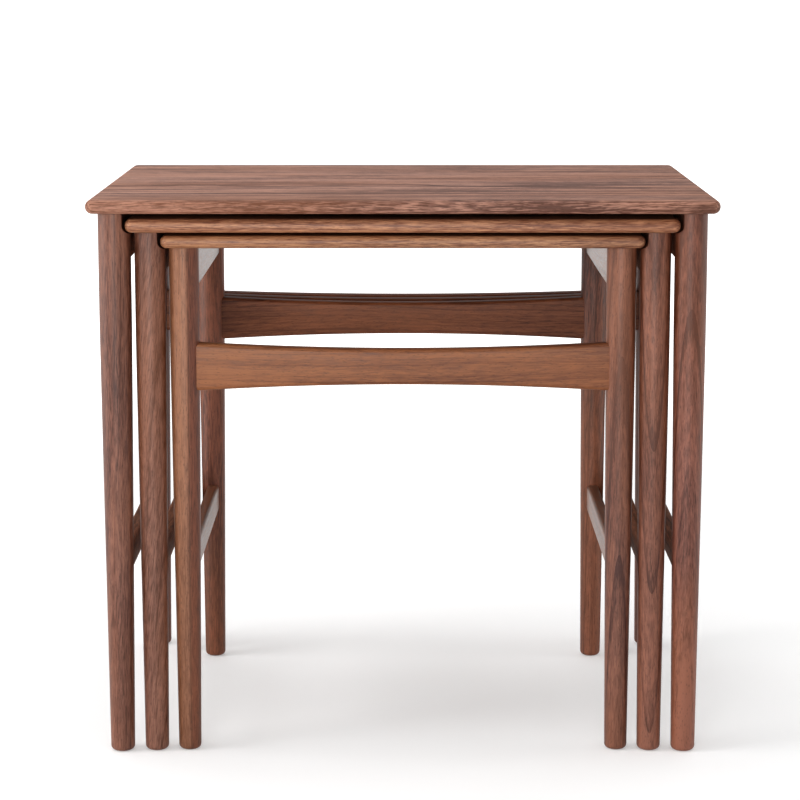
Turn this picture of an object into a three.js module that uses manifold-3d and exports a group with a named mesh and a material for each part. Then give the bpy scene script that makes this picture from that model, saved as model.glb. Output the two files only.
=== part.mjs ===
// Nest of three side tables in solid wood. Each smaller table slides in from the front, under the next
// larger one: its top runs in grooves at the top of the larger table's legs, and its back legs stop
// against the larger table's back rail. Every piece is a solid of its own, and the wooden pieces are
// joined by tenons in mortises, with screws from below that hold each top to its aprons.
// Millimetres, +Z up, +X to the right, +Y to the back. The origin is on the floor, under the middle of
// the large top. Left and right are as seen from the front.

import * as THREE from 'three';
import { mergeVertices } from 'three/addons/utils/BufferGeometryUtils.js';
import Module from 'manifold-3d';

const wasm = await Module();
wasm.setup();

// Driving dimensions of the nest
const LARGE_TOP_WIDTH = 580;
const LARGE_TOP_DEPTH = 415;
const LARGE_HEIGHT = 523;

// Driving dimensions of each table, from the largest to the smallest
const SIZES = [
  { name: 'large', topThickness: 13, legDiameter: 30, footDiameter: 22.5, sideOverhang: 10,
    apronHeight: 50, legTenonDiameter: 15 },
  { name: 'medium', topThickness: 12.5, legDiameter: 28.5, footDiameter: 22, sideOverhang: 7.5,
    apronHeight: 46.5, legTenonDiameter: 14 },
  { name: 'small', topThickness: 11.5, legDiameter: 27.5, footDiameter: 21, sideOverhang: 7,
    apronHeight: 43, legTenonDiameter: 13.5 },
];

// How one table sits inside the next larger one, for the medium and then the small table
const TOP_GAPS = [5, 3];             // under the larger top
const FRONT_STEPS = [2.5, 2];        // front legs behind the larger table's front legs
const LEG_SIDE_GAP = 3;              // between the legs of two tables
const STOP_GAP = 0.75;               // between the back legs and the larger table's back rail
const SLIDE_SIDE_CLEARANCE = 2.5;    // from a top's end to the groove that it runs in
const SLIDE_UNDER_CLEARANCE = 1.2;   // from a top's underside to the groove's floor

// Tops
const TOP_CORNER_RADIUS = 8;
const TOP_END_OVERHANG = 4.5;        // beyond the legs, at the front and the back
const TOP_EDGE_FLAT = 0.5;           // upright band in the middle of the rounded edge

// Legs
const LEG_STRAIGHT = 110;            // straight length under the top, before the taper
const TAPER_BLEND = 60;              // length over which the straight part turns into the taper
const FOOT_ROUNDING = 4.5;
const LEG_TENON_LENGTH = 8;

// Aprons, directly under the top
const APRON_THICKNESS = 16;
const SMALL_APRON_INSET = 4.5;       // inner face outside the leg's inner side, where there is no groove
const APRON_ROUNDING = 3;

// Stretchers, low down between the front and the back leg
const STRETCHER_BOTTOM = 161;        // above the floor
const STRETCHER_HEIGHT = 27;
const STRETCHER_THICKNESS = 12.5;
const STRETCHER_ROUNDING = 3.5;

// Waisted rails, between the left and the right leg
const RAIL_BELOW_APRON = 46;         // from the small table's aprons down to its rails' ends
const RAIL_LIFT = 1.1;               // each larger table's rail is this much higher
const RAIL_MIDDLE_HEIGHT = 33.2;
const RAIL_END_HEIGHT = 44.5;
const RAIL_THICKNESS = 16.5;
const RAIL_ROUNDING = 4;

// Joints and fasteners
const JOINT_GAP = 0.3;               // between two pieces that touch
const TENON_PAST_CENTRE = 2;         // how far a tenon goes past the middle of a leg
const APRON_TENON = { thickness: 7, top: 12, bottom: 6 };
const STRETCHER_TENON = { thickness: 6.5, top: 4, bottom: 4 };
const RAIL_TENON = { thickness: 8, top: 9, bottom: 9 };
const SCREW = { headRadius: 4, headHeight: 3, shankRadius: 1.9, grip: 22, bite: 7, pointLength: 3 };
const SCREW_COUNTERBORE_RADIUS = 4.7;
const SCREW_SPACING = 0.5;           // between a pair of screws, as a share of the legs' spacing

// Facets
const LEG_SEGMENTS = 16;
const HOLE_SEGMENTS = 12;
const SCREW_SEGMENTS = 8;
const CORNER_SEGMENTS = 3;
const ROUNDING_SEGMENTS = 2;
const RAIL_ARC_SEGMENTS = 10;

const WOOD = { color: 0x7b5545, roughness: 0.5, metalness: 0 };
const STEEL = { color: 0xb9b6ad, roughness: 0.35, metalness: 1 };

// Solids

function solidFrom(geometry) {
  geometry.deleteAttribute('normal');
  geometry.deleteAttribute('uv');
  const merged = mergeVertices(geometry, 1e-4);
  const mesh = new wasm.Mesh({
    numProp: 3,
    vertProperties: new Float32Array(merged.attributes.position.array),
    triVerts: new Uint32Array(merged.index.array),
  });
  return new wasm.Manifold(mesh);
}

function geometryFrom(solid) {
  const mesh = solid.getMesh();
  const geometry = new THREE.BufferGeometry();
  geometry.setAttribute('position', new THREE.BufferAttribute(mesh.vertProperties, 3));
  geometry.setIndex(new THREE.BufferAttribute(mesh.triVerts, 1));
  geometry.computeVertexNormals();
  return geometry;
}

// A box between two corners
function boxSolid(low, high) {
  const size = high.map((value, i) => value - low[i]);
  const middle = high.map((value, i) => (value + low[i]) / 2);
  return solidFrom(new THREE.BoxGeometry(...size).translate(...middle));
}

// A profile of [radius, z] points turned round the vertical line through x, y
function turnedSolid(profile, segments, x, y) {
  const points = profile.map(([radius, z]) => new THREE.Vector2(radius, z));
  return solidFrom(new THREE.LatheGeometry(points, segments).rotateX(Math.PI / 2).translate(x, y, 0));
}

function cylinderSolid(radius, bottom, top, segments, x, y) {
  return turnedSolid([[0, bottom], [radius, bottom], [radius, top], [0, top]], segments, x, y);
}

// An outline in X and Z, extruded along Y from front to back, with its edges rounded inside the outline
function extrudedAlongY(outline, front, back, rounding, curveSegments) {
  const geometry = new THREE.ExtrudeGeometry(outline, {
    depth: back - front - 2 * rounding,
    bevelEnabled: rounding > 0,
    bevelThickness: rounding,
    bevelSize: rounding,
    bevelOffset: -rounding,
    bevelSegments: ROUNDING_SEGMENTS,
    curveSegments,
  });
  return solidFrom(geometry.rotateX(Math.PI / 2).translate(0, back - rounding, 0));
}

function roundedRectangle(width, height, radius) {
  const x = width / 2;
  const y = height / 2;
  const shape = new THREE.Shape();
  shape.moveTo(x, radius - y);
  shape.absarc(x - radius, y - radius, radius, 0, Math.PI / 2);
  shape.absarc(radius - x, y - radius, radius, Math.PI / 2, Math.PI);
  shape.absarc(radius - x, radius - y, radius, Math.PI, Math.PI * 1.5);
  shape.absarc(x - radius, radius - y, radius, Math.PI * 1.5, Math.PI * 2);
  return shape;
}

// Where everything stands

// Each table takes its place from the table around it.
function layOutTables() {
  const tables = [];
  for (const [index, size] of SIZES.entries()) {
    const outer = tables[index - 1];
    const radius = size.legDiameter / 2;
    const table = { ...size, legRadius: radius };
    if (outer) {
      table.legX = outer.legX - outer.legRadius - LEG_SIDE_GAP - radius;
      table.frontY = outer.frontY + FRONT_STEPS[index - 1];
      table.backY = outer.backY - RAIL_THICKNESS / 2 - STOP_GAP - radius;
      table.height = outer.height - outer.topThickness - TOP_GAPS[index - 1];
    } else {
      table.legX = LARGE_TOP_WIDTH / 2 - size.sideOverhang - radius;
      table.frontY = TOP_END_OVERHANG + radius - LARGE_TOP_DEPTH / 2;
      table.backY = -table.frontY;
      table.height = LARGE_HEIGHT;
    }
    table.topHalfWidth = table.legX + radius + size.sideOverhang;
    table.underside = table.height - size.topThickness;
    table.legTop = table.underside - JOINT_GAP;
    table.apronBottom = table.underside - size.apronHeight;
    table.inner = null;
    if (outer) {
      outer.inner = table;
    }
    tables.push(table);
  }
  const smallest = tables[tables.length - 1];
  const lowestRail = smallest.apronBottom - RAIL_BELOW_APRON - RAIL_END_HEIGHT / 2;
  for (const [index, table] of tables.entries()) {
    table.railHeight = lowestRail + RAIL_LIFT * (tables.length - 1 - index);
    table.apronInnerX = table.inner
      ? table.inner.topHalfWidth + SLIDE_SIDE_CLEARANCE
      : table.legX - table.legRadius + SMALL_APRON_INSET;
  }
  return tables;
}

// Legs

function legRadiusAt(table, z) {
  const slope = (table.legDiameter - table.footDiameter) / 2 / (table.legTop - LEG_STRAIGHT);
  const blendTop = table.legTop - LEG_STRAIGHT + TAPER_BLEND / 2;
  const blendBottom = blendTop - TAPER_BLEND;
  if (z >= blendTop) {
    return table.legRadius;
  }
  if (z >= blendBottom) {
    return table.legRadius - slope * (blendTop - z) ** 2 / (2 * TAPER_BLEND);
  }
  return table.legRadius - slope * (blendTop - TAPER_BLEND / 2 - z);
}

// The turned leg without its tenon. grow makes it thicker, as the cutter for what is scribed to it.
function legBlank(table, x, y, grow) {
  const blendTop = table.legTop - LEG_STRAIGHT + TAPER_BLEND / 2;
  const heights = [blendTop - TAPER_BLEND, blendTop - TAPER_BLEND / 2, blendTop, table.legTop + grow];
  const profile = [[0, -grow]];
  const footRadius = legRadiusAt(table, FOOT_ROUNDING) + grow;
  for (const step of [0, 1, 2]) {
    const angle = step * Math.PI / 4;
    const radius = footRadius - FOOT_ROUNDING * (1 - Math.sin(angle));
    profile.push([radius, FOOT_ROUNDING * (1 - Math.cos(angle)) - grow]);
  }
  for (const z of heights) {
    profile.push([legRadiusAt(table, z) + grow, z]);
  }
  profile.push([0, table.legTop + grow]);
  return turnedSolid(profile, LEG_SEGMENTS, x, y);
}

// The groove for the next smaller top: open to the inner side and to the top, coved like the top's edge
function slideGroove(table, side, y) {
  const inner = table.inner;
  const wall = inner.topHalfWidth + SLIDE_SIDE_CLEARANCE;
  const floor = inner.underside - SLIDE_UNDER_CLEARANCE;
  const cove = inner.topThickness / 2 + SLIDE_UNDER_CLEARANCE;
  const open = side * (table.legX - 2 * table.legRadius);
  const roof = table.legTop + table.legRadius;
  const start = -Math.PI / 2;
  const end = side > 0 ? 0 : -Math.PI;
  const outline = new THREE.Shape();
  outline.moveTo(open, floor);
  outline.absarc(side * (wall - cove), floor + cove, cove, start, end, side < 0);
  outline.lineTo(side * wall, roof);
  outline.lineTo(open, roof);
  const reach = 2 * table.legRadius;
  return extrudedAlongY(outline, y - reach, y + reach, 0, CORNER_SEGMENTS);
}

function legSolid(table, side, y, tenons) {
  const x = side * table.legX;
  let leg = legBlank(table, x, y, 0);
  const tenonRadius = table.legTenonDiameter / 2;
  const tenonTop = table.legTop + LEG_TENON_LENGTH;
  leg = leg.add(cylinderSolid(tenonRadius, table.legTop - 1, tenonTop, HOLE_SEGMENTS, x, y));
  if (table.inner) {
    leg = leg.subtract(slideGroove(table, side, y));
  }
  for (const tenon of tenons) {
    leg = leg.subtract(tenonSolid(tenon, JOINT_GAP));
  }
  return leg;
}

// Tenons are boxes, and a mortise is the same box grown by the gap.
function tenonSolid(tenon, grow) {
  return boxSolid(tenon.low.map((v) => v - grow), tenon.high.map((v) => v + grow));
}

// A tenon along Y at the front or back end of an apron or stretcher
function sideTenon(table, side, end, centreX, bottom, top, form) {
  const legY = end < 0 ? table.frontY : table.backY;
  const tip = legY + end * TENON_PAST_CENTRE;
  const root = legY - end * table.legRadius;
  return {
    low: [side * centreX - form.thickness / 2, Math.min(tip, root), bottom + form.bottom],
    high: [side * centreX + form.thickness / 2, Math.max(tip, root), top - form.top],
  };
}

// A tenon along X at the left or right end of a rail
function railTenon(table, side, y) {
  const tip = side * (table.legX + TENON_PAST_CENTRE);
  const root = side * (table.legX - table.legRadius);
  const halfHeight = RAIL_END_HEIGHT / 2;
  return {
    low: [Math.min(tip, root), y - RAIL_TENON.thickness / 2,
      table.railHeight - halfHeight + RAIL_TENON.bottom],
    high: [Math.max(tip, root), y + RAIL_TENON.thickness / 2,
      table.railHeight + halfHeight - RAIL_TENON.top],
  };
}

function apronTenon(table, side, end) {
  const centreX = table.apronInnerX + APRON_THICKNESS / 2;
  return sideTenon(table, side, end, centreX, table.apronBottom, table.legTop, APRON_TENON);
}

function stretcherTenon(table, side, end) {
  const top = STRETCHER_BOTTOM + STRETCHER_HEIGHT;
  return sideTenon(table, side, end, table.legX, STRETCHER_BOTTOM, top, STRETCHER_TENON);
}

// Tops

function topSolid(table, screws) {
  const edge = table.topThickness / 2 - TOP_EDGE_FLAT / 2;
  const front = table.frontY - table.legRadius - TOP_END_OVERHANG;
  const back = table.backY + table.legRadius + TOP_END_OVERHANG;
  const face = roundedRectangle(
    2 * (table.topHalfWidth - edge), back - front - 2 * edge, TOP_CORNER_RADIUS - edge);
  const geometry = new THREE.ExtrudeGeometry(face, {
    depth: TOP_EDGE_FLAT,
    bevelThickness: edge,
    bevelSize: edge,
    bevelSegments: CORNER_SEGMENTS,
    curveSegments: CORNER_SEGMENTS,
  });
  let top = solidFrom(geometry.translate(0, (front + back) / 2, table.underside + edge));
  const holeRadius = table.legTenonDiameter / 2 + JOINT_GAP;
  const holeTop = table.legTop + LEG_TENON_LENGTH + JOINT_GAP;
  for (const side of [-1, 1]) {
    for (const y of [table.frontY, table.backY]) {
      const hole = cylinderSolid(
        holeRadius, table.underside - 1, holeTop, HOLE_SEGMENTS, side * table.legX, y);
      top = top.subtract(hole);
    }
  }
  for (const screw of screws) {
    const hole = cylinderSolid(SCREW.shankRadius + JOINT_GAP, table.underside - 1,
      table.underside + SCREW.bite + JOINT_GAP, SCREW_SEGMENTS, screw.x, screw.y);
    top = top.subtract(hole);
  }
  return top;
}

// Aprons and stretchers

// A bar's section in X and Z, with its own rounding at the bottom and at the top
function barOutline(lowX, highX, bottom, top, bottomRounding, topRounding) {
  const outline = new THREE.Shape();
  const right = Math.PI * 2;
  const up = Math.PI / 2;
  const left = Math.PI;
  const down = Math.PI * 1.5;
  if (topRounding > 0) {
    outline.absarc(highX - topRounding, top - topRounding, topRounding, 0, up);
    outline.absarc(lowX + topRounding, top - topRounding, topRounding, up, left);
  } else {
    outline.moveTo(highX, top);
    outline.lineTo(lowX, top);
  }
  outline.absarc(lowX + bottomRounding, bottom + bottomRounding, bottomRounding, left, down);
  outline.absarc(highX - bottomRounding, bottom + bottomRounding, bottomRounding, down, right);
  return outline;
}

// A bar along Y with its ends scribed to the two legs and a tenon at each end
function scribedBar(table, side, outline, tenons) {
  let bar = extrudedAlongY(outline, table.frontY, table.backY, 0, CORNER_SEGMENTS);
  for (const y of [table.frontY, table.backY]) {
    bar = bar.subtract(legBlank(table, side * table.legX, y, JOINT_GAP));
  }
  for (const tenon of tenons) {
    bar = bar.add(tenonSolid(tenon, 0));
  }
  return bar;
}

function apronSolid(table, side, tenons, screws) {
  const near = side * table.apronInnerX;
  const far = side * (table.apronInnerX + APRON_THICKNESS);
  const outline = barOutline(
    Math.min(near, far), Math.max(near, far), table.apronBottom, table.legTop, APRON_ROUNDING, 0);
  let apron = scribedBar(table, side, outline, tenons);
  for (const screw of screws) {
    const seat = screw.headTop + JOINT_GAP;
    const counterbore = cylinderSolid(SCREW_COUNTERBORE_RADIUS, table.apronBottom - 1, seat,
      SCREW_SEGMENTS, screw.x, screw.y);
    const hole = cylinderSolid(SCREW.shankRadius + JOINT_GAP, seat - 1, table.legTop + 1,
      SCREW_SEGMENTS, screw.x, screw.y);
    apron = apron.subtract(counterbore).subtract(hole);
  }
  return apron;
}

function stretcherSolid(table, side, tenons) {
  const centre = side * table.legX;
  const outline = barOutline(
    centre - STRETCHER_THICKNESS / 2, centre + STRETCHER_THICKNESS / 2,
    STRETCHER_BOTTOM, STRETCHER_BOTTOM + STRETCHER_HEIGHT, STRETCHER_ROUNDING, STRETCHER_ROUNDING);
  return scribedBar(table, side, outline, tenons);
}

// Rails

// The rail's outline: straight ends, and a long arc above and below that makes the middle narrower
function railOutline(table) {
  const half = table.legX;
  const sag = (RAIL_END_HEIGHT - RAIL_MIDDLE_HEIGHT) / 2;
  const visibleHalf = table.legX - table.legRadius;
  const arcRadius = (visibleHalf ** 2 + sag ** 2) / (2 * sag);
  const reach = Math.asin(visibleHalf / arcRadius);
  const endHalf = RAIL_END_HEIGHT / 2;
  const arcCentre = RAIL_MIDDLE_HEIGHT / 2 + arcRadius;
  const z = table.railHeight;
  const outline = new THREE.Shape();
  outline.moveTo(half, z - endHalf);
  outline.lineTo(half, z + endHalf);
  outline.absarc(0, z + arcCentre, arcRadius, reach - Math.PI / 2, -reach - Math.PI / 2, true);
  outline.lineTo(-half, z + endHalf);
  outline.lineTo(-half, z - endHalf);
  outline.absarc(0, z - arcCentre, arcRadius, Math.PI / 2 + reach, Math.PI / 2 - reach, true);
  return outline;
}

function railSolid(table, y, tenons) {
  const front = y - RAIL_THICKNESS / 2;
  const back = y + RAIL_THICKNESS / 2;
  let rail = extrudedAlongY(railOutline(table), front, back, RAIL_ROUNDING, RAIL_ARC_SEGMENTS);
  for (const side of [-1, 1]) {
    rail = rail.subtract(legBlank(table, side * table.legX, y, JOINT_GAP));
  }
  for (const tenon of tenons) {
    rail = rail.add(tenonSolid(tenon, 0));
  }
  return rail;
}

// Screws

function apronScrews(table, side) {
  const spacing = (table.backY - table.frontY) * SCREW_SPACING;
  const middle = (table.frontY + table.backY) / 2;
  const x = side * (table.apronInnerX + APRON_THICKNESS / 2);
  const headTop = table.underside - SCREW.grip;
  return [
    { place: 'front', x, y: middle - spacing / 2, headTop, tip: table.underside + SCREW.bite },
    { place: 'back', x, y: middle + spacing / 2, headTop, tip: table.underside + SCREW.bite },
  ];
}

function screwSolid(screw) {
  const profile = [
    [0, screw.headTop - SCREW.headHeight],
    [SCREW.headRadius, screw.headTop - SCREW.headHeight / 2],
    [SCREW.headRadius, screw.headTop],
    [SCREW.shankRadius, screw.headTop],
    [SCREW.shankRadius, screw.tip - SCREW.pointLength],
    [0, screw.tip],
  ];
  return turnedSolid(profile, SCREW_SEGMENTS, screw.x, screw.y);
}

// The nest

const nest = new THREE.Group();

function addPiece(name, solid, finish) {
  const mesh = new THREE.Mesh(geometryFrom(solid), new THREE.MeshStandardMaterial(finish));
  mesh.name = name;
  nest.add(mesh);
}

function addSideFrame(table, side) {
  const sideName = side < 0 ? 'left' : 'right';
  const screws = apronScrews(table, side);
  const apronTenons = [-1, 1].map((end) => apronTenon(table, side, end));
  const stretcherTenons = [-1, 1].map((end) => stretcherTenon(table, side, end));
  const frontTenons = [apronTenons[0], stretcherTenons[0]];
  const backTenons = [apronTenons[1], stretcherTenons[1], railTenon(table, side, table.backY)];
  if (!table.inner) {
    frontTenons.push(railTenon(table, side, table.frontY));
  }
  const label = (piece) => `${table.name}_${piece}`;
  addPiece(label(`front_${sideName}_leg`), legSolid(table, side, table.frontY, frontTenons), WOOD);
  addPiece(label(`back_${sideName}_leg`), legSolid(table, side, table.backY, backTenons), WOOD);
  addPiece(label(`${sideName}_apron`), apronSolid(table, side, apronTenons, screws), WOOD);
  addPiece(label(`${sideName}_stretcher`), stretcherSolid(table, side, stretcherTenons), WOOD);
  for (const screw of screws) {
    addPiece(label(`${sideName}_${screw.place}_screw`), screwSolid(screw), STEEL);
  }
  return screws;
}

function addRail(table, place, y) {
  const tenons = [-1, 1].map((side) => railTenon(table, side, y));
  addPiece(`${table.name}_${place}_rail`, railSolid(table, y, tenons), WOOD);
}

for (const table of layOutTables()) {
  const screws = [...addSideFrame(table, -1), ...addSideFrame(table, 1)];
  addPiece(`${table.name}_top`, topSolid(table, screws), WOOD);
  addRail(table, 'back', table.backY);
  if (!table.inner) {
    addRail(table, 'front', table.frontY);
  }
}

export default nest;
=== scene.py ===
import math
import bmesh
import bpy
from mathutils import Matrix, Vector


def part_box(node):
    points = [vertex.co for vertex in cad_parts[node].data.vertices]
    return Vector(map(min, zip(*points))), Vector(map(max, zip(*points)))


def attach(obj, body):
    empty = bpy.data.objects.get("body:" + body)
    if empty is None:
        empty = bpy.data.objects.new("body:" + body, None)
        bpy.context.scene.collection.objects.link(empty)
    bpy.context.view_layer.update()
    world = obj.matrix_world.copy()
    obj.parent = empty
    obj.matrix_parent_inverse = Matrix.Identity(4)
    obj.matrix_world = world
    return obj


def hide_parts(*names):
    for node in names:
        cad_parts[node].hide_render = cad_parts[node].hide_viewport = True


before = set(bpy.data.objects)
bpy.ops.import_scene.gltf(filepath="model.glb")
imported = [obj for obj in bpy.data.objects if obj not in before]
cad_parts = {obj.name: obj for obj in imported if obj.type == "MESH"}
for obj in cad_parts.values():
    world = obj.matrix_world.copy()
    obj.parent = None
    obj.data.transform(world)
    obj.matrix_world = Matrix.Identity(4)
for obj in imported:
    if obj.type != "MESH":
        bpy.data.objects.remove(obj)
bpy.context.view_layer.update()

# A nest of three walnut side tables. Every length is in metres and MM turns millimetres into metres.
# What the frame knows, such as where a leg or a top is, is read from it. The rest is named here.

MM = 0.001
TABLES = ("large", "medium", "small")

FOOT_DIAMETER = {"large": 22.5 * MM, "medium": 22 * MM, "small": 21 * MM}
LEG_STRAIGHT = 80 * MM         # untapered length under the top
TAPER_BLEND = 60 * MM          # length over which the straight part turns into the taper
FOOT_ROUNDING = 4.5 * MM
TOP_CORNER_RADIUS = 8 * MM
TOP_EDGE_FLAT = 0.5 * MM       # upright band left in the middle of a top's rounded edge
APRON_ROUNDING = 3 * MM
STRETCHER_ROUNDING = 3.5 * MM
RAIL_ROUNDING = 4 * MM
RAIL_MIDDLE_HEIGHT = 33.2 * MM
GROOVE_SIDE_CLEARANCE = 2.5 * MM
GROOVE_UNDER_CLEARANCE = 1.2 * MM
GLUE_LINE = 0.08 * MM          # hairline between two pieces that are glued together

SCREW_HEAD_RADIUS = 4 * MM
SCREW_HEAD_HEIGHT = 3 * MM
SCREW_CROWN_HEIGHT = 1.8 * MM  # the domed part of the head
SCREW_CROWN_FLAT = 2.2 * MM    # radius of the flat that the dome ends in
SCREW_SHANK_RADIUS = 1.9 * MM
SCREW_POINT = 3 * MM
SCREW_TIP_RADIUS = SCREW_SHANK_RADIUS / 8
SCREW_HOLE_RADIUS = 4.7 * MM
RECESS_LENGTH = 4.4 * MM
RECESS_WIDTH = 0.9 * MM
RECESS_DEPTH = 1.4 * MM

LEG_SIDES = 72
SCREW_SIDES = 40
ROUND_STEPS = 6                # facets across a small rounding
EDGE_STEPS = 10                # facets across half of a top's rounded edge
RAIL_STATIONS = 48             # lengths that a waisted rail is divided into
SMOOTH_BELOW = math.radians(32)
TOUCH = 0.01 * MM              # how near two places are to count as the same
MERGE_WITHIN = 0.001 * MM      # how near two corners of a mesh are to be merged


# ---- sizes and places from the frame ----

def box_of(node):
    low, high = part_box(node)
    return Vector(low), Vector(high)


def read_table(name):
    top_low, top_high = box_of(f"{name}_top")
    leg_low, leg_high = box_of(f"{name}_front_left_leg")
    back_low, back_high = box_of(f"{name}_back_left_leg")
    # the axis of a grooved leg isn't the middle of its box, so it's found from the round outer side
    radius = (leg_high.y - leg_low.y) / 2
    return {
        "name": name,
        "top_low": top_low,
        "top_high": top_high,
        "leg_x": -(leg_low.x + radius),
        "front_y": (leg_low.y + leg_high.y) / 2,
        "back_y": (back_low.y + back_high.y) / 2,
        "leg_radius": radius,
        "foot_radius": FOOT_DIAMETER[name] / 2,
        "leg_top": top_low.z - GLUE_LINE,
    }


def taper_top(table):
    return table["leg_top"] - LEG_STRAIGHT


def leg_radius_at(table, z):
    """The turned leg's radius at height z: straight, then a soft turn into an even taper."""
    slope = (table["leg_radius"] - table["foot_radius"]) / (taper_top(table) - TAPER_BLEND / 2)
    below = taper_top(table) - z
    if below <= 0:
        return table["leg_radius"]
    if below <= TAPER_BLEND:
        return table["leg_radius"] - slope * below ** 2 / (2 * TAPER_BLEND)
    return table["leg_radius"] - slope * (below - TAPER_BLEND / 2)


# ---- steps that every piece uses ----

def only(obj):
    """Object mode with this one piece selected, so that the next operator acts on it alone."""
    if bpy.context.object and bpy.context.object.mode != "OBJECT":
        bpy.ops.object.mode_set(mode="OBJECT")
    bpy.ops.object.select_all(action="DESELECT")
    if obj:
        obj.select_set(True)
        bpy.context.view_layer.objects.active = obj


def edit(obj):
    only(obj)
    bpy.ops.object.mode_set(mode="EDIT")
    bpy.ops.mesh.select_mode(type="EDGE")


def select_edges(obj, wanted):
    """In edit mode, selects the edges whose two ends satisfy wanted(a, b)."""
    bpy.ops.mesh.select_all(action="DESELECT")
    shape = bmesh.from_edit_mesh(obj.data)
    for edge in shape.edges:
        if wanted(edge.verts[0].co, edge.verts[1].co):
            edge.select = True
    shape.select_flush_mode()
    bmesh.update_edit_mesh(obj.data)


def settle(obj):
    """Puts the piece's place in its mesh, so that its object sits at the origin."""
    only(obj)
    bpy.ops.object.transform_apply(location=True, rotation=True, scale=True)


def block(low, high):
    only(None)
    bpy.ops.mesh.primitive_cube_add(size=1, location=(low + high) / 2, scale=high - low)
    made = bpy.context.object
    settle(made)
    return made


def round_edges(obj, wanted, radius, steps):
    edit(obj)
    select_edges(obj, wanted)
    bpy.ops.mesh.bevel(offset=radius, offset_type="OFFSET", segments=steps, affect="EDGES")
    bpy.ops.object.mode_set(mode="OBJECT")


def turned(x, y, rings, sides):
    """A lathe-turned piece: a disc that is extruded and resized ring by ring, as (radius, z)."""
    only(None)
    radius, z = rings[0]
    bpy.ops.mesh.primitive_circle_add(vertices=sides, radius=radius, fill_type="NGON", location=(x, y, z))
    made = bpy.context.object
    settle(made)
    edit(made)
    bpy.ops.mesh.select_all(action="SELECT")
    for next_radius, next_z in rings[1:]:
        bpy.ops.mesh.extrude_region_move(TRANSFORM_OT_translate={"value": (0, 0, next_z - z)})
        factor = next_radius / radius
        bpy.ops.transform.resize(value=(factor, factor, 1), center_override=(x, y, next_z))
        radius, z = next_radius, next_z
    bpy.ops.mesh.select_all(action="SELECT")
    bpy.ops.mesh.normals_make_consistent(inside=False)
    bpy.ops.object.mode_set(mode="OBJECT")
    return made


def cut(obj, cutter):
    """Takes the cutter's shape out of the piece, and the cutter goes."""
    only(obj)
    step = obj.modifiers.new("cut", "BOOLEAN")
    step.operation = "DIFFERENCE"
    step.solver = "EXACT"
    step.object = cutter
    bpy.ops.object.modifier_apply(modifier=step.name)
    bpy.data.objects.remove(cutter)


def copy_moved(piece, move):
    only(piece)
    bpy.ops.object.duplicate()
    made = bpy.context.object
    bpy.ops.transform.translate(value=move)
    settle(made)
    return made


def copy_turned(piece, table):
    """A copy turned half round about the upright line through the middle between the legs."""
    only(piece)
    bpy.ops.object.duplicate()
    made = bpy.context.object
    middle = (0, (table["front_y"] + table["back_y"]) / 2, 0)
    bpy.ops.transform.rotate(value=math.pi, orient_axis="Z", center_override=middle)
    settle(made)
    return made


def hand_over(piece, node, finish):
    """Tidies a piece's mesh and puts it in place of its CAD node, with its finish and its body."""
    edit(piece)
    bpy.ops.mesh.select_all(action="SELECT")
    bpy.ops.mesh.remove_doubles(threshold=MERGE_WITHIN)
    bpy.ops.mesh.normals_make_consistent(inside=False)
    bpy.ops.object.mode_set(mode="OBJECT")
    bpy.ops.object.shade_smooth_by_angle(angle=SMOOTH_BELOW)
    piece.name = f"{node}_finished"
    piece.data.name = piece.name
    piece.data.materials.clear()
    piece.data.materials.append(finish)
    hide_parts(node)
    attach(piece, f"{node.split('_')[0]}_table")


# ---- materials ----

MIX_A = 6                      # the two colour inputs and the colour output of a Mix node
MIX_B = 7
MIX_RESULT = 2


def linear(hex_colour):
    """An sRGB hex colour as the linear colour that a shader socket takes."""
    channels = [int(hex_colour[start:start + 2], 16) / 255 for start in (1, 3, 5)]
    return [c / 12.92 if c <= 0.04045 else ((c + 0.055) / 1.055) ** 2.4 for c in channels] + [1]


def add_node(tree, kind, inputs, **settings):
    """Adds a node, sets it up, and gives each input a value or a link."""
    made = tree.nodes.new(kind)
    for setting, value in settings.items():
        setattr(made, setting, value)
    for key, value in inputs.items():
        if isinstance(value, bpy.types.NodeSocket):
            tree.links.new(value, made.inputs[key])
        else:
            made.inputs[key].default_value = value
    return made


def new_material(name):
    material = bpy.data.materials.new(name)
    material.use_nodes = True
    material.node_tree.nodes.clear()
    return material, material.node_tree


def close_material(tree, shader):
    add_node(tree, "ShaderNodeOutputMaterial", {"Surface": shader.outputs["BSDF"]})


WALNUT_RING = 5 * MM           # year ring width
WALNUT_FIBRE = 1.2 * MM        # a fibre bundle, drawn coarser than the real 0.05 mm so that it shows
WALNUT_FIBRE_LENGTH = 15 * MM
WALNUT_PORE = 1.5 * MM         # spacing of the open pores, also coarser than the real 0.3 mm
WALNUT_PORE_LENGTH = 6 * MM
WALNUT_BAND = 15 * MM          # broad clouds of paler and darker wood, across and along the grain
WALNUT_BAND_LENGTH = 170 * MM
WALNUT_WANDER = 60 * MM        # how far apart the swings of the grain are, across and along it
WALNUT_WANDER_LENGTH = 330 * MM
WALNUT_IOR = 1.5
BOARD_SHIFT = 90 * MM          # how differently neighbouring boards of one top are cut from the log
RELIEF_HEIGHT = 0.15 * MM      # what fibres and pores still stand up or sink after sanding

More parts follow.
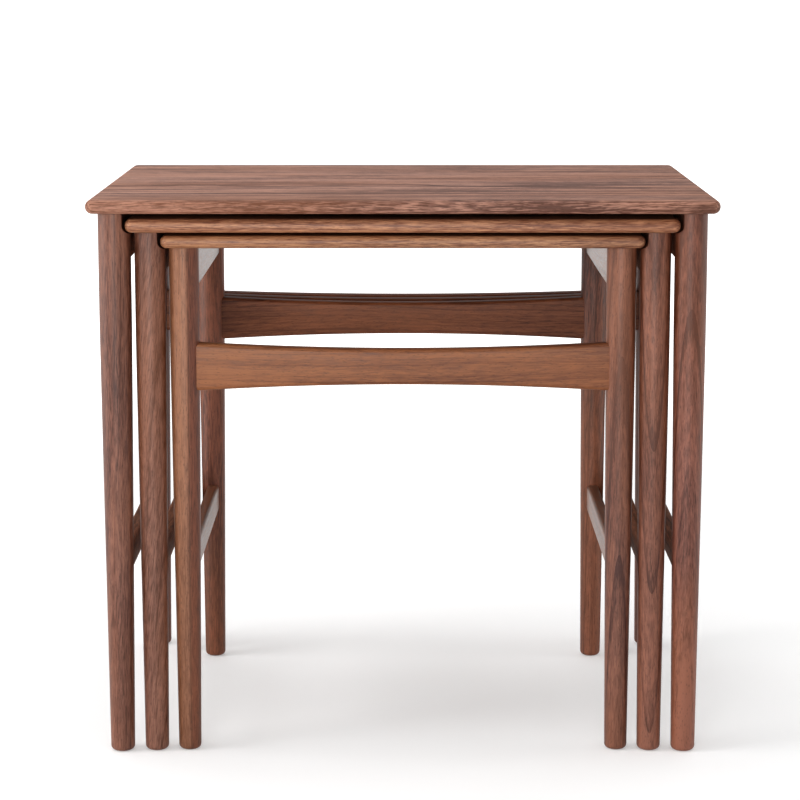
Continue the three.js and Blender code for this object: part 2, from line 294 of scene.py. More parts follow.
# tones run from 0, a piece's darkest streak, to 1, its palest
MIDDLE_TONE = 0.55
BOARD_TONE = 0.1               # how far a board's tone may be from the middle one
YEAR_TONE = 0.26               # and a whole year's
CLOUD_TONE = 0.25              # and a cloud's
FAINT_LINE = 0.08              # how much darker a year's last line is after a poor year
CLEAR_LINE = 0.6               # and after a good one
LINE_START = 0.62              # the share of a year's width at which that line sets in
LINE_END = 0.98                # and at which it is darkest
POOR_YEAR = 0.62               # the noise values that stand for a poor year and for a good one
GOOD_YEAR = 0.38
YEAR_VARIETY = 0.7             # how quickly good and poor years take turns
NOISE_LOW = 0.3                # the range that a noise pattern mostly keeps to
NOISE_HIGH = 0.7
WARM_FROM = 0.42               # the noise values between which the wood turns warmer
WARM_TO = 0.65
MOST_WARMTH = 0.22             # the largest share of the warm colour
PORE_CORE = 0.12               # radii of a pore's dark middle and of its soft rim, in pore spacings
PORE_RIM = 0.3
PORE_SINK = 0.8                # how deep a pore is against the height of the fibres
PORE_DARKNESS = 0.38
END_GRAIN_ONLY = 4             # the higher, the squarer a face must be to the grain to count as its end
END_GRAIN_DARKNESS = 0.35
GLOSS_SWING = 0.07             # how far a fibre's roughness may be from the finish's own
PORE_COLOUR = "#24120c"
WARM_COLOUR = "#9c5f34"
GRAIN = {
    "X": Vector((1, 0, 0)),
    "Y": Vector((0, 1, 0)),
    "Z": Vector((0, 0, 1)),
}


def in_grain(tree, vector, across, along):
    """Scales the log's space so that a pattern is so wide across the grain and so long along it."""
    scaled = add_node(tree, "ShaderNodeVectorMath",
                      {0: vector, 1: (1 / across, 1 / across, 1 / along)}, operation="MULTIPLY")
    return scaled.outputs[0]


def saw_into_boards(tree, place, in_log, width):
    """Gives each board of a glued-up top its own cut from the log and its own tone."""
    across = add_node(tree, "ShaderNodeSeparateXYZ", {0: place.outputs["Object"]})
    board = add_node(tree, "ShaderNodeMath", {0: across.outputs["Y"], 1: width}, operation="DIVIDE")
    number = add_node(tree, "ShaderNodeMath", {0: board.outputs[0]}, operation="FLOOR")
    own = add_node(tree, "ShaderNodeTexWhiteNoise", {"W": number.outputs[0]}, noise_dimensions="1D")
    shifted = add_node(tree, "ShaderNodeVectorMath",
                       {0: own.outputs["Color"], 1: (BOARD_SHIFT,) * 3, 2: in_log},
                       operation="MULTIPLY_ADD")
    tone = add_node(tree, "ShaderNodeMapRange",
                    {"Value": own.outputs["Value"], "To Min": MIDDLE_TONE - BOARD_TONE,
                     "To Max": MIDDLE_TONE + BOARD_TONE})
    return shifted.outputs[0], tone.outputs[0]


def bend_grain(tree, in_log, swing):
    """Lets the grain wander slowly, so that rings widen, pinch and bend."""
    wander = add_node(tree, "ShaderNodeTexNoise",
                      {"Vector": in_grain(tree, in_log, WALNUT_WANDER, WALNUT_WANDER_LENGTH),
                       "Scale": 1, "Detail": 3, "Roughness": 0.45})
    centred = add_node(tree, "ShaderNodeVectorMath",
                       {0: wander.outputs["Color"], 1: (0.5, 0.5, 0.5)}, operation="SUBTRACT")
    bent = add_node(tree, "ShaderNodeVectorMath",
                    {0: centred.outputs[0], 1: (2 * swing, 2 * swing, 0), 2: in_log},
                    operation="MULTIPLY_ADD")
    return wander.outputs[0], bent.outputs[0]


def year_rings(tree, from_pith, ring, figure, tone):
    """Darkens a thin line at the end of each year, clearly after a good year and faintly after a poor
    one. Returns that tone, and how much paler or darker each year is as a whole."""
    year = add_node(tree, "ShaderNodeMath", {0: from_pith, 1: ring}, operation="DIVIDE")
    years = add_node(tree, "ShaderNodeTexNoise",
                     {"W": year.outputs[0], "Scale": YEAR_VARIETY, "Detail": 3, "Roughness": 0.6},
                     noise_dimensions="1D")
    in_year = add_node(tree, "ShaderNodeMath", {0: year.outputs[0]}, operation="FRACT")
    late = add_node(tree, "ShaderNodeMapRange",
                    {"Value": in_year.outputs[0], "From Min": LINE_START, "From Max": LINE_END},
                    interpolation_type="SMOOTHERSTEP")
    line = add_node(tree, "ShaderNodeMapRange",
                    {"Value": years.outputs[0], "From Min": POOR_YEAR, "From Max": GOOD_YEAR,
                     "To Min": -FAINT_LINE * figure, "To Max": -CLEAR_LINE * figure})
    whole = add_node(tree, "ShaderNodeMapRange",
                     {"Value": years.outputs[0], "From Min": NOISE_LOW, "From Max": NOISE_HIGH,
                      "To Min": -YEAR_TONE * figure, "To Max": YEAR_TONE * figure})
    lined = add_node(tree, "ShaderNodeMath", {0: late.outputs[0], 1: line.outputs[0], 2: tone},
                     operation="MULTIPLY_ADD")
    return lined.outputs[0], whole.outputs[0]


def open_pores(tree, bent):
    """Short open pores along the grain: 1 in a pore and 0 on the wood between."""
    cells = add_node(tree, "ShaderNodeTexVoronoi",
                     {"Vector": in_grain(tree, bent, WALNUT_PORE, WALNUT_PORE_LENGTH), "Scale": 1})
    pores = add_node(tree, "ShaderNodeMapRange",
                     {"Value": cells.outputs["Distance"], "From Min": PORE_CORE, "From Max": PORE_RIM,
                      "To Min": 1, "To Max": 0})
    return pores.outputs[0]


def heartwood(tree, tone, wander, dark, light):
    """The wood's two tones, with a warmer brown where the grain wanders that way."""
    plain = add_node(tree, "ShaderNodeMix",
                     {0: tone, MIX_A: linear(dark), MIX_B: linear(light)}, data_type="RGBA")
    warmth = add_node(tree, "ShaderNodeMapRange",
                      {"Value": wander, "From Min": WARM_FROM, "From Max": WARM_TO,
                       "To Min": 0, "To Max": MOST_WARMTH})
    warmed = add_node(tree, "ShaderNodeMix",
                      {0: warmth.outputs[0], MIX_A: plain.outputs[MIX_RESULT],
                       MIX_B: linear(WARM_COLOUR)}, data_type="RGBA")
    return warmed.outputs[MIX_RESULT]


def add_sapwood(tree, tone, from_pith, inner_wood, sapwood):
    """The tan outer wood of the log, which takes over between two distances from the pith."""
    (dark, light), start, end = sapwood
    outer = add_node(tree, "ShaderNodeMapRange",
                     {"Value": from_pith, "From Min": start, "From Max": end},
                     interpolation_type="SMOOTHSTEP")
    tan = add_node(tree, "ShaderNodeMix",
                   {0: tone, MIX_A: linear(dark), MIX_B: linear(light)}, data_type="RGBA")
    both = add_node(tree, "ShaderNodeMix",
                    {0: outer.outputs[0], MIX_A: inner_wood, MIX_B: tan.outputs[MIX_RESULT]},
                    data_type="RGBA")
    return both.outputs[MIX_RESULT]


def soak_in_oil(tree, colour, pores, facing):
    """Pores hold more oil and dust, and end grain drinks the oil, so both are darker."""
    pore_depth = add_node(tree, "ShaderNodeMath", {0: pores, 1: PORE_DARKNESS}, operation="MULTIPLY")
    with_pores = add_node(tree, "ShaderNodeMix",
                          {0: pore_depth.outputs[0], MIX_A: colour, MIX_B: linear(PORE_COLOUR)},
                          data_type="RGBA")
    end_grain = add_node(tree, "ShaderNodeMath", {0: facing, 1: END_GRAIN_ONLY}, operation="POWER")
    end_depth = add_node(tree, "ShaderNodeMath", {0: end_grain.outputs[0], 1: END_GRAIN_DARKNESS},
                         operation="MULTIPLY")
    soaked = add_node(tree, "ShaderNodeMix",
                      {0: end_depth.outputs[0], MIX_A: with_pores.outputs[MIX_RESULT],
                       MIX_B: linear(PORE_COLOUR)}, data_type="RGBA")
    return soaked.outputs[MIX_RESULT]


def oiled_walnut(name, grain, pith, lean, dark, light, swing=9 * MM, figure=1, clouding=1, drift=0,
                 boards=None, sapwood=None, roughness=0.48, sheen=0.5, streaks=0.5, ring=WALNUT_RING):
    """Black walnut, planed, sanded and oiled. The eye gets year rings cut at a slant into long streaks
    and arches, short dark pores along the grain, and a satin sheen at flat angles.

    grain is the axis that the fibres follow. pith is a point on the middle line of the log that the
    piece was cut from, and lean is how far that line is off the grain axis, so together they give each
    piece its own figure. dark and light are the two ends of its tones. swing is how far the grain
    wanders. figure, clouding and streaks are how strong the rings, the broad clouds and the fibres are.
    drift is how much paler the wood gets per metre along the grain. boards is the width of the boards
    that a top is glued up from. sapwood is two tan tones and the distances from the pith between which
    they set in. roughness and sheen are the oil's gloss, and ring is the year ring width."""
    material, tree = new_material(name)
    axis = (GRAIN[grain] + Vector(lean)).normalized()
    turn = Vector((0, 0, 1)).rotation_difference(axis).to_euler()
    place = add_node(tree, "ShaderNodeTexCoord", {})
    log = add_node(tree, "ShaderNodeMapping",
                   {"Vector": place.outputs["Object"], "Location": pith, "Rotation": turn},
                   vector_type="TEXTURE")
    in_log, base_tone = log.outputs[0], MIDDLE_TONE
    if boards:
        in_log, base_tone = saw_into_boards(tree, place, in_log, boards)
    wander, bent = bend_grain(tree, in_log, swing)
    flat = add_node(tree, "ShaderNodeVectorMath", {0: bent, 1: (1, 1, 0)}, operation="MULTIPLY")
    from_pith = add_node(tree, "ShaderNodeVectorMath", {0: flat.outputs[0]}, operation="LENGTH")

    along = add_node(tree, "ShaderNodeSeparateXYZ", {0: log.outputs[0]})
    drifted = add_node(tree, "ShaderNodeMath", {0: along.outputs["Z"], 1: drift, 2: base_tone},
                       operation="MULTIPLY_ADD")
    tone, years = year_rings(tree, from_pith.outputs["Value"], ring, figure, drifted.outputs[0])
    clouds = add_node(tree, "ShaderNodeTexNoise",
                      {"Vector": in_grain(tree, bent, WALNUT_BAND, WALNUT_BAND_LENGTH),
                       "Scale": 1, "Detail": 3, "Roughness": 0.55})
    bands = add_node(tree, "ShaderNodeMapRange",
                     {"Value": clouds.outputs[0], "From Min": NOISE_LOW, "From Max": NOISE_HIGH,
                      "To Min": -CLOUD_TONE * clouding, "To Max": CLOUD_TONE * clouding})
    fibre = add_node(tree, "ShaderNodeTexNoise",
                     {"Vector": in_grain(tree, bent, WALNUT_FIBRE, WALNUT_FIBRE_LENGTH),
                      "Scale": 1, "Detail": 2, "Roughness": 0.55})
    fibres = add_node(tree, "ShaderNodeMapRange",
                      {"Value": fibre.outputs[0], "From Min": NOISE_LOW, "From Max": NOISE_HIGH,
                       "To Min": -streaks, "To Max": streaks})
    for part in (years, bands.outputs[0], fibres.outputs[0]):
        summed = add_node(tree, "ShaderNodeMath", {0: tone, 1: part}, operation="ADD")
        tone = summed.outputs[0]
    summed.use_clamp = True

    colour = heartwood(tree, tone, wander, dark, light)
    if sapwood:
        colour = add_sapwood(tree, tone, from_pith.outputs["Value"], colour, sapwood)
    pores = open_pores(tree, bent)
    facing = add_node(tree, "ShaderNodeVectorMath",
                      {0: place.outputs["Normal"], 1: GRAIN[grain]}, operation="DOT_PRODUCT")
    colour = soak_in_oil(tree, colour, pores, facing.outputs["Value"])

    relief = add_node(tree, "ShaderNodeMath", {0: pores, 1: -PORE_SINK, 2: fibre.outputs[0]},
                      operation="MULTIPLY_ADD")
    bump = add_node(tree, "ShaderNodeBump",
                    {"Height": relief.outputs[0], "Strength": 0.4, "Distance": RELIEF_HEIGHT})
    satin = add_node(tree, "ShaderNodeMapRange",
                     {"Value": fibre.outputs[0], "From Min": NOISE_LOW, "From Max": NOISE_HIGH,
                      "To Min": roughness - GLOSS_SWING, "To Max": roughness + GLOSS_SWING})
    shader = add_node(tree, "ShaderNodeBsdfPrincipled",
                      {"Base Color": colour, "Roughness": satin.outputs[0], "IOR": WALNUT_IOR,
                       "Specular IOR Level": sheen, "Normal": bump.outputs[0]})
    close_material(tree, shader)
    return material


ZINC_CLOUD = 1.2 * MM          # size of the clouds in the plating's gloss


def zinc_plated_steel():
    """Bright zinc on rolled steel: a pale grey metal with a faint cloud in its gloss."""
    material, tree = new_material("screw_zinc_plated_steel")
    place = add_node(tree, "ShaderNodeTexCoord", {})
    cloud = add_node(tree, "ShaderNodeTexNoise",
                     {"Vector": place.outputs["Object"], "Scale": 1 / ZINC_CLOUD, "Detail": 2})
    gloss = add_node(tree, "ShaderNodeMapRange",
                     {"Value": cloud.outputs[0], "To Min": 0.22, "To Max": 0.42})
    shader = add_node(tree, "ShaderNodeBsdfPrincipled",
                      {"Base Color": linear("#c3c6c8"), "Metallic": 1, "Roughness": gloss.outputs[0]})
    close_material(tree, shader)
    return material


NEAR_GLOW = 0.27               # the floor's own light by the tables, which keeps its shadows pale
FAR_GLOW = 1                   # and further off, where the floor runs into the lit backdrop
FILL_SHARE = 0.35              # how much of that light reaches matt surfaces, so that gaps stay dark
NEAR_REACH = 0.9               # the distances between which the one turns into the other
FAR_REACH = 2.4


def white_paint_with_painted_glow():
    """The studio floor: matt white paint that also glows with painted light of its own, faintly by the
    tables and fully further off, so that its shadows stay pale and it fades into the backdrop.
    """
    material, tree = new_material("floor_matt_white_paint")
    place = add_node(tree, "ShaderNodeTexCoord", {})
    reach = add_node(tree, "ShaderNodeVectorMath", {0: place.outputs["Object"]}, operation="LENGTH")
    glow = add_node(tree, "ShaderNodeMapRange",
                    {"Value": reach.outputs["Value"], "From Min": NEAR_REACH, "From Max": FAR_REACH,
                     "To Min": NEAR_GLOW, "To Max": FAR_GLOW}, interpolation_type="SMOOTHSTEP")
    ray = add_node(tree, "ShaderNodeLightPath", {})
    share = add_node(tree, "ShaderNodeMapRange",
                     {"Value": ray.outputs["Is Diffuse Ray"], "To Min": 1, "To Max": FILL_SHARE})
    given = add_node(tree, "ShaderNodeMath", {0: glow.outputs[0], 1: share.outputs[0]},
                     operation="MULTIPLY")
    # the emission is painted light: the floor glows though it is no lamp, faintly by the tables and fully
    # where it meets the backdrop
    shader = add_node(tree, "ShaderNodeBsdfPrincipled",
                      {"Base Color": linear("#dfdfdf"), "Roughness": 0.9, "Specular IOR Level": 0,
                       "Emission Color": linear("#ffffff"), "Emission Strength": given.outputs[0]})
    close_material(tree, shader)
    return material


# ---- the pieces ----

def make_legs(table, inner, finishes):
    """Four turned legs. The inner side of each is grooved where the next smaller top slides in."""
    name, x, y = table["name"], -table["leg_x"], table["front_y"]
    rings = []
    for step in range(ROUND_STEPS + 1):
        angle = math.pi / 2 * step / ROUND_STEPS
        z = FOOT_ROUNDING * (1 - math.cos(angle))
        rings.append((leg_radius_at(table, z) - FOOT_ROUNDING * (1 - math.sin(angle)), z))
    for step in range(ROUND_STEPS + 1):
        z = taper_top(table) - TAPER_BLEND * (1 - step / ROUND_STEPS)
        rings.append((leg_radius_at(table, z), z))
    rings.append((table["leg_radius"], table["leg_top"]))
    front_left = turned(x, y, rings, LEG_SIDES)
    if inner:
        cut(front_left, groove_shape(table, inner))
    back_left = copy_moved(front_left, (0, table["back_y"] - y, 0))
    legs = {
        "front_left": front_left,
        "back_left": back_left,
        "front_right": copy_turned(back_left, table),
        "back_right": copy_turned(front_left, table),
    }
    for corner, leg in legs.items():
        node = f"{name}_{corner}_leg"
        hand_over(leg, node, finishes.get(node, finishes["leg"]))


def groove_shape(table, inner):
    """What the front left leg's groove takes out: a block with a coved lower edge like a top's rim."""
    wall = inner["top_low"].x - GROOVE_SIDE_CLEARANCE
    floor = inner["top_low"].z - GROOVE_UNDER_CLEARANCE
    cove = (inner["top_high"].z - inner["top_low"].z) / 2 + GROOVE_UNDER_CLEARANCE
    reach = 2 * table["leg_radius"]
    low = Vector((wall, table["front_y"] - reach, floor))
    high = Vector((wall + reach, table["front_y"] + reach, table["leg_top"] + reach))
    shape = block(low, high)

    def is_lower_edge(a, b):
        return all(abs(v.x - wall) < TOUCH and abs(v.z - floor) < TOUCH for v in (a, b))

    round_edges(shape, is_lower_edge, cove, EDGE_STEPS)
    return shape


def make_top(table, finish):
    low, high = table["top_low"], table["top_high"]
    top = block(low, high)
    round_edges(top, lambda a, b: abs(a.z - b.z) > TOUCH, TOP_CORNER_RADIUS, EDGE_STEPS)
    rim = (high.z - low.z - TOP_EDGE_FLAT) / 2
    round_edges(top, lambda a, b: abs(a.z - b.z) < TOUCH, rim, EDGE_STEPS)
    node = f"{table['name']}_top"
    hand_over(top, node, finish)


def leg_shape(table, x, y, low_z, high_z):
    """The stretch of leg that a piece is scribed to, a hairline wider than the leg."""
    rings = [(leg_radius_at(table, z) + GLUE_LINE, z) for z in (low_z, high_z)]
    return turned(x, y, rings, LEG_SIDES)


def runs_along_y(a, b):
    return abs(a.y - b.y) > TOUCH


def runs_along_x(a, b):
    return abs(a.x - b.x) > TOUCH


def scribe_to_side_legs(bar, table, low, high):
    for y in (table["front_y"], table["back_y"]):
        cut(bar, leg_shape(table, -table["leg_x"], y, low.z - FOOT_ROUNDING, high.z + FOOT_ROUNDING))


def side_bar_box(table, node):
    """The CAD bar's box, run on to the legs' middles."""
    low, high = box_of(node)
    low.y, high.y = table["front_y"], table["back_y"]
    return low, high


def make_stretchers(table, finish):
    node = f"{table['name']}_left_stretcher"
    low, high = side_bar_box(table, node)
    bar = block(low, high)
    round_edges(bar, runs_along_y, STRETCHER_ROUNDING, ROUND_STEPS)
    scribe_to_side_legs(bar, table, low, high)
    other = copy_turned(bar, table)
    hand_over(bar, node, finish)
    hand_over(other, f"{table['name']}_right_stretcher", finish)


def make_aprons(table, finish):
    node = f"{table['name']}_left_apron"
    low, high = side_bar_box(table, node)
    high.z = table["leg_top"]
    bar = block(low, high)
    round_edges(bar, lambda a, b: runs_along_y(a, b) and a.z < low.z + TOUCH, APRON_ROUNDING, ROUND_STEPS)
    scribe_to_side_legs(bar, table, low, high)
    for end in ("front", "back"):
        screw_low, screw_high = box_of(f"{table['name']}_left_{end}_screw")
        middle = (screw_low + screw_high) / 2
        seat = screw_low.z + SCREW_HEAD_HEIGHT + GLUE_LINE
        hole = [(SCREW_HOLE_RADIUS, low.z - APRON_ROUNDING), (SCREW_HOLE_RADIUS, seat)]
        cut(bar, turned(middle.x, middle.y, hole, SCREW_SIDES))
    other = copy_turned(bar, table)
    hand_over(bar, node, finish)
    hand_over(other, f"{table['name']}_right_apron", finish)


def make_rails(table, ends, finishes):
    """Waisted rails: the long edges are wide flat arcs, so the middle is narrower than the ends."""
    node = f"{table['name']}_{ends[0]}_rail"
    low, high = box_of(node)
    low.x, high.x = -table["leg_x"], table["leg_x"]
    rail = block(low, high)
    edit(rail)
    select_edges(rail, runs_along_x)
    bpy.ops.mesh.subdivide(number_cuts=RAIL_STATIONS - 1)
    middle = (low + high) / 2
    end_height = high.z - low.z
    half_span = table["leg_x"] - table["leg_radius"]
    sag = (end_height - RAIL_MIDDLE_HEIGHT) / 2
    arc_radius = (half_span ** 2 + sag ** 2) / (2 * sag)
    for station in range(1, RAIL_STATIONS):
        x = low.x + (high.x - low.x) * station / RAIL_STATIONS
        if abs(x) < half_span:
            rise = arc_radius - math.sqrt(arc_radius ** 2 - x ** 2)
            share = (RAIL_MIDDLE_HEIGHT + 2 * rise) / end_height
            select_edges(rail, lambda a, b: abs(a.x - x) < TOUCH and abs(b.x - x) < TOUCH)
            bpy.ops.transform.resize(value=(1, 1, share), center_override=(x, middle.y, middle.z))
    bpy.ops.object.mode_set(mode="OBJECT")
    side = (high.y - low.y) / 2

    def is_long_corner(a, b):
        return runs_along_x(a, b) and abs(abs(a.y - middle.y) - side) < TOUCH

    round_edges(rail, is_long_corner, RAIL_ROUNDING, ROUND_STEPS)
    for x in (-table["leg_x"], table["leg_x"]):
        cut(rail, leg_shape(table, x, middle.y, low.z - RAIL_ROUNDING, high.z + RAIL_ROUNDING))
    rails = {ends[0]: rail}
    for end in ends[1:]:
        rails[end] = copy_moved(rail, (0, table[f"{end}_y"] - middle.y, 0))
    for end, piece in rails.items():
        node = f"{table['name']}_{end}_rail"
        hand_over(piece, node, finishes.get(node, finishes["rail"]))


def make_screws(table, finish):
    """Pan head wood screws with a cross recess, which hold the top to its aprons."""
    name = table["name"]
    low, high = box_of(f"{name}_left_front_screw")
    x, y = (low.x + high.x) / 2, (low.y + high.y) / 2
    rings = []
    for step in range(ROUND_STEPS + 1):
        angle = math.pi / 2 * step / ROUND_STEPS
        radius = SCREW_CROWN_FLAT + (SCREW_HEAD_RADIUS - SCREW_CROWN_FLAT) * math.sin(angle)
        rings.append((radius, low.z + SCREW_CROWN_HEIGHT * (1 - math.cos(angle))))
    seat = low.z + SCREW_HEAD_HEIGHT
    rings += [(SCREW_HEAD_RADIUS, seat), (SCREW_SHANK_RADIUS, seat)]
    rings += [(SCREW_SHANK_RADIUS, high.z - SCREW_POINT), (SCREW_TIP_RADIUS, high.z)]
    screw = turned(x, y, rings, SCREW_SIDES)
    for length, width in ((RECESS_LENGTH, RECESS_WIDTH), (RECESS_WIDTH, RECESS_LENGTH)):
        reach = Vector((length / 2, width / 2, RECESS_DEPTH))
        foot = Vector((x, y, low.z))
        cut(screw, block(foot - reach, foot + reach))
    for side in ("left", "right"):
        for end in ("front", "back"):
            node = f"{name}_{side}_{end}_screw"
            there_low, there_high = box_of(node)
            move = (there_low + there_high) / 2 - (low + high) / 2
            hand_over(copy_moved(screw, move), node, finish)
    bpy.data.objects.remove(screw)


# ---- the three tables ----

tables = {name: read_table(name) for name in TABLES}
next_smaller = {"large": tables["medium"], "medium": tables["small"], "small": None}

LOG_HEIGHT = 0.25              # the height at which the legs' pith points are given


def beside_leg(name, side, across, back):
    """A pith point that is so many millimetres to the right of a front leg's axis and behind it."""
    x = tables[name]["leg_x"] * (-1 if side == "left" else 1)
    return (x + across * MM, tables[name]["front_y"] + back * MM, LOG_HEIGHT)


# each top is glued up from boards of its own that lie along X
top_finishes = {
    "large": oiled_walnut("large_top_oiled_walnut", "X", (0, -0.03, 0.45), (0, 0.006, 0.012),
                          "#5d3c30", "#ae8371", figure=1, clouding=2.2, drift=-0.3, boards=0.105,
                          roughness=0.6, sheen=0.36, streaks=0.6),
    "medium": oiled_walnut("medium_top_oiled_walnut", "X", (0, -0.14, 0.42), (0, 0.004, -0.01),
                           "#6b3f2b", "#b98766", figure=0.7, drift=-0.3, boards=0.1, streaks=0.5),
    "small": oiled_walnut("small_top_oiled_walnut", "X", (0, -0.16, 0.43), (0, 0.02, 0.01),
                          "#683f2c", "#b18361", figure=0.7, drift=-0.3, boards=0.095, streaks=0.5),
}
# each front leg has its own cut: the small left one shows the log's tan sapwood, and the right-hand
# ones have arched rings. A negative drift makes a leg darker towards its upper end, which is partly the
# wood's own tone and partly painted shade under the tops
leg_finishes = {
    "leg": oiled_walnut("leg_oiled_walnut", "Z", (0.05, 0.1, 0), (0.01, 0.006, 0), "#46251a", "#7e4b3a",
                        figure=0.7),
    "small_back_left_leg": oiled_walnut("small_back_left_leg_oiled_walnut", "Z", (-0.2, 0.12, 0.2),
                                        (0.01, 0.01, 0), "#4f2b1c", "#8c553f", figure=0.7, drift=0.9),
    "small_back_right_leg": oiled_walnut("small_back_right_leg_oiled_walnut", "Z", (0.25, 0.1, 0.2),
                                         (0.02, -0.01, 0), "#44251a", "#804e3a", figure=0.7, drift=-0.9),
    "large_front_left_leg": oiled_walnut("large_left_leg_oiled_walnut", "Z",
                                         beside_leg("large", "left", 60, 30), (0.02, 0.02, 0),
                                         "#462318", "#855a49", figure=0.45, drift=-0.5, streaks=0.42),
    "medium_front_left_leg": oiled_walnut("medium_left_leg_oiled_walnut", "Z",
                                          beside_leg("medium", "left", -50, 25), (0.11, 0, 0),
                                          "#4a281c", "#896050", figure=0.6, drift=-0.45, streaks=0.45),
    "small_front_left_leg": oiled_walnut("small_left_leg_oiled_walnut", "Z",
                                         beside_leg("small", "left", 60, 5), (0, 0.004, 0),
                                         "#462317", "#764531", swing=1.5 * MM, figure=0.6, drift=0.9,
                                         sapwood=(("#70472f", "#94664b"), 0.0565, 0.0635)),
    "small_front_right_leg": oiled_walnut("small_right_leg_oiled_walnut", "Z",
                                          beside_leg("small", "right", 1, -56), (0.006, -0.06, 0),
                                          "#45231a", "#865947", swing=4 * MM, figure=1.1, drift=-0.7,
                                          streaks=0.35, ring=10 * MM),
    "medium_front_right_leg": oiled_walnut("medium_right_leg_oiled_walnut", "Z",
                                           beside_leg("medium", "right", -1, -45.8), (-0.004, 0.07, 0),
                                           "#4c271a", "#8c5c49", swing=4 * MM, figure=0.95,
                                           drift=-1.5, streaks=0.35, ring=10 * MM),
    "large_front_right_leg": oiled_walnut("large_right_leg_oiled_walnut", "Z",
                                          beside_leg("large", "right", 1, -35.1), (-0.004, -0.09, 0),
                                          "#40190f", "#8b5a4a", swing=3 * MM, figure=1.2,
                                          drift=-1.0, streaks=0.35, ring=12 * MM),
}
rail_finishes = {
    "rail": oiled_walnut("back_rail_oiled_walnut", "X", (0, 0.05, 0.5), (0, 0.02, 0.01),
                         "#432113", "#7d4d35", figure=0.8, drift=-0.1, sheen=0.3, streaks=0.35),
    "small_front_rail": oiled_walnut("front_rail_oiled_walnut", "X", (0, -0.22, 0.47), (0, 0.012, 0.006),
                                     "#5f341d", "#905d3b", figure=0.55, drift=-1.4, sheen=0.42,
                                     streaks=0.35),
}
# aprons and stretchers: nearly matt on the two larger tables, and satin on the small one
SIDE_RAIL_TONES = ("#46291a", "#845a46")
side_finishes = {
    "large": oiled_walnut("large_side_rail_oiled_walnut", "Y", (0.02, 0, 0.6), (0.012, 0, 0.008),
                          *SIDE_RAIL_TONES, figure=0.7, roughness=0.6, sheen=0.12),
    "medium": oiled_walnut("medium_side_rail_oiled_walnut", "Y", (0.03, 0, 0.55), (0.008, 0, 0.012),
                           *SIDE_RAIL_TONES, figure=0.7, roughness=0.6, sheen=0.12),
    "small": oiled_walnut("small_side_rail_oiled_walnut", "Y", (-0.02, 0, 0.58), (0.012, 0, -0.008),
                          *SIDE_RAIL_TONES, figure=0.7, roughness=0.37, sheen=0.53),
}
screw_finish = zinc_plated_steel()

for table in tables.values():
    make_top(table, top_finishes[table["name"]])
    make_legs(table, next_smaller[table["name"]], leg_finishes)
    make_aprons(table, side_finishes[table["name"]])
    make_stretchers(table, side_finishes[table["name"]])
    make_screws(table, screw_finish)
make_rails(tables["large"], ("back",), rail_finishes)
make_rails(tables["medium"], ("back",), rail_finishes)
make_rails(tables["small"], ("front", "back"), rail_finishes)


# ---- floor, light and camera ----

FLOOR_RADIUS = 60
FLOOR_GAP = 0.2 * MM           # how far under the feet the floor lies
only(None)
bpy.ops.mesh.primitive_circle_add(vertices=64, radius=FLOOR_RADIUS, fill_type="NGON",
                                  location=(0, 0, -FLOOR_GAP))
floor = bpy.context.object
floor.name = "studio_floor"
floor.data.materials.append(white_paint_with_painted_glow())


AMONG_LEGS = (0, 0, 0.3)       # where the boxes on stands are aimed, a little above the legs' middle
FLOOR_MIDDLE = (0, 0, 0)


def soft_light(name, place, aim, size, power):
    """A softbox of a width and height, whose power is in watts."""
    only(None)
    bpy.ops.object.light_add(type="AREA", location=place)
    light = bpy.context.object
    light.name = name
    light.data.shape = "RECTANGLE"
    light.data.size, light.data.size_y = size
    light.data.energy = power
    light.rotation_euler = (Vector(aim) - Vector(place)).to_track_quat("-Z", "Y").to_euler()


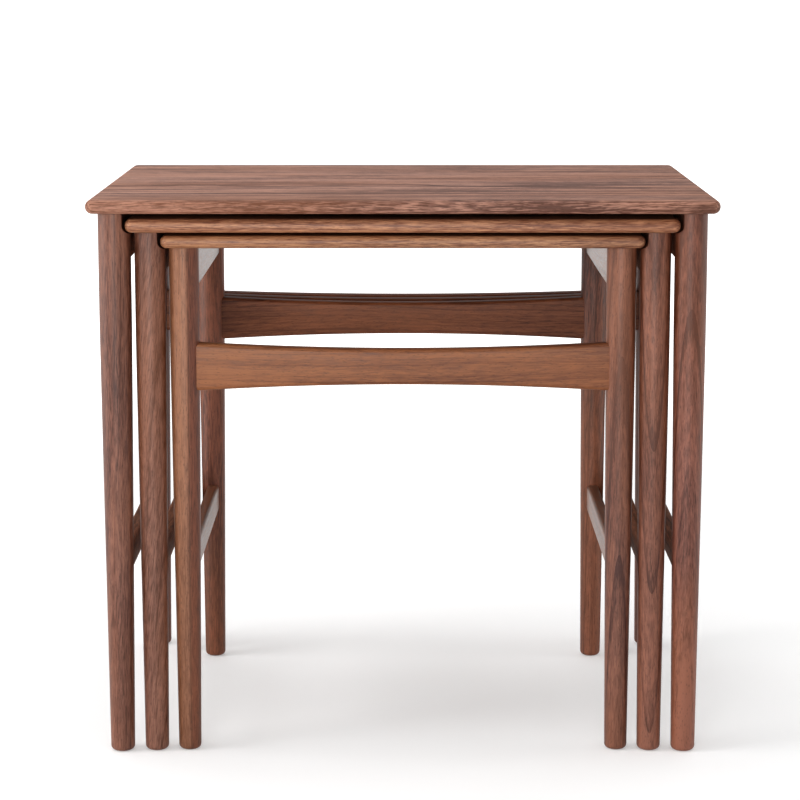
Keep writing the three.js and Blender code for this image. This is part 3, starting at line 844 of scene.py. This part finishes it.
soft_light("left_softbox", (-3.6, -0.8, 1.3), AMONG_LEGS, size=(2.2, 2.4), power=78)
soft_light("right_softbox", (3.6, -0.1, 1.3), AMONG_LEGS, size=(1.7, 2.2), power=24)
soft_light("front_softbox", (-0.6, -4, 0.9), AMONG_LEGS, size=(1.4, 1.4), power=63)
soft_light("overhead_softbox", (-0.3, 0.1, 2.6), FLOOR_MIDDLE, size=(2.6, 2.4), power=36)

# the wall behind is brighter than the rest of the room, so flat angles pick up a pale sheen
ROOM = 0.25
BACKDROP = 0.45
world = bpy.data.worlds.new("studio")
world.use_nodes = True
world.node_tree.nodes.clear()
direction = add_node(world.node_tree, "ShaderNodeTexCoord", {})
split = add_node(world.node_tree, "ShaderNodeSeparateXYZ", {0: direction.outputs["Generated"]})
wall = add_node(world.node_tree, "ShaderNodeMapRange",
                {"Value": split.outputs["Y"], "From Min": 0.1, "From Max": 0.75,
                 "To Min": ROOM, "To Max": BACKDROP}, interpolation_type="SMOOTHSTEP")
ambient = add_node(world.node_tree, "ShaderNodeBackground",
                   {"Color": linear("#ffffff"), "Strength": wall.outputs[0]})
white = add_node(world.node_tree, "ShaderNodeBackground", {"Color": linear("#ffffff"), "Strength": 1})
ray = add_node(world.node_tree, "ShaderNodeLightPath", {})
seen = add_node(world.node_tree, "ShaderNodeMixShader",
                {0: ray.outputs["Is Camera Ray"], 1: ambient.outputs[0], 2: white.outputs[0]})
add_node(world.node_tree, "ShaderNodeOutputWorld", {"Surface": seen.outputs[0]})
bpy.context.scene.world = world
bpy.context.scene.view_settings.view_transform = "Standard"
bpy.context.scene.view_settings.look = "Medium High Contrast"

CAMERA_HEIGHT = 0.734
CAMERA_DISTANCE = 2.266        # in front of the large top's front edge
CAMERA_PITCH = math.radians(8.79)
CAMERA_LENS = 112.5            # in millimetres, as the sensor's width is
SENSOR_WIDTH = 36
LENS_SHIFT = (-0.0035, -0.06)  # to the right and upwards, as shares of the sensor; below 0 is left and down
bpy.ops.object.camera_add(location=(0, tables["large"]["top_low"].y - CAMERA_DISTANCE, CAMERA_HEIGHT),
                          rotation=(math.pi / 2 - CAMERA_PITCH, 0, 0))
camera = bpy.context.object
camera.data.lens = CAMERA_LENS
camera.data.sensor_width = SENSOR_WIDTH
camera.data.shift_x, camera.data.shift_y = LENS_SHIFT
bpy.context.scene.camera = camera
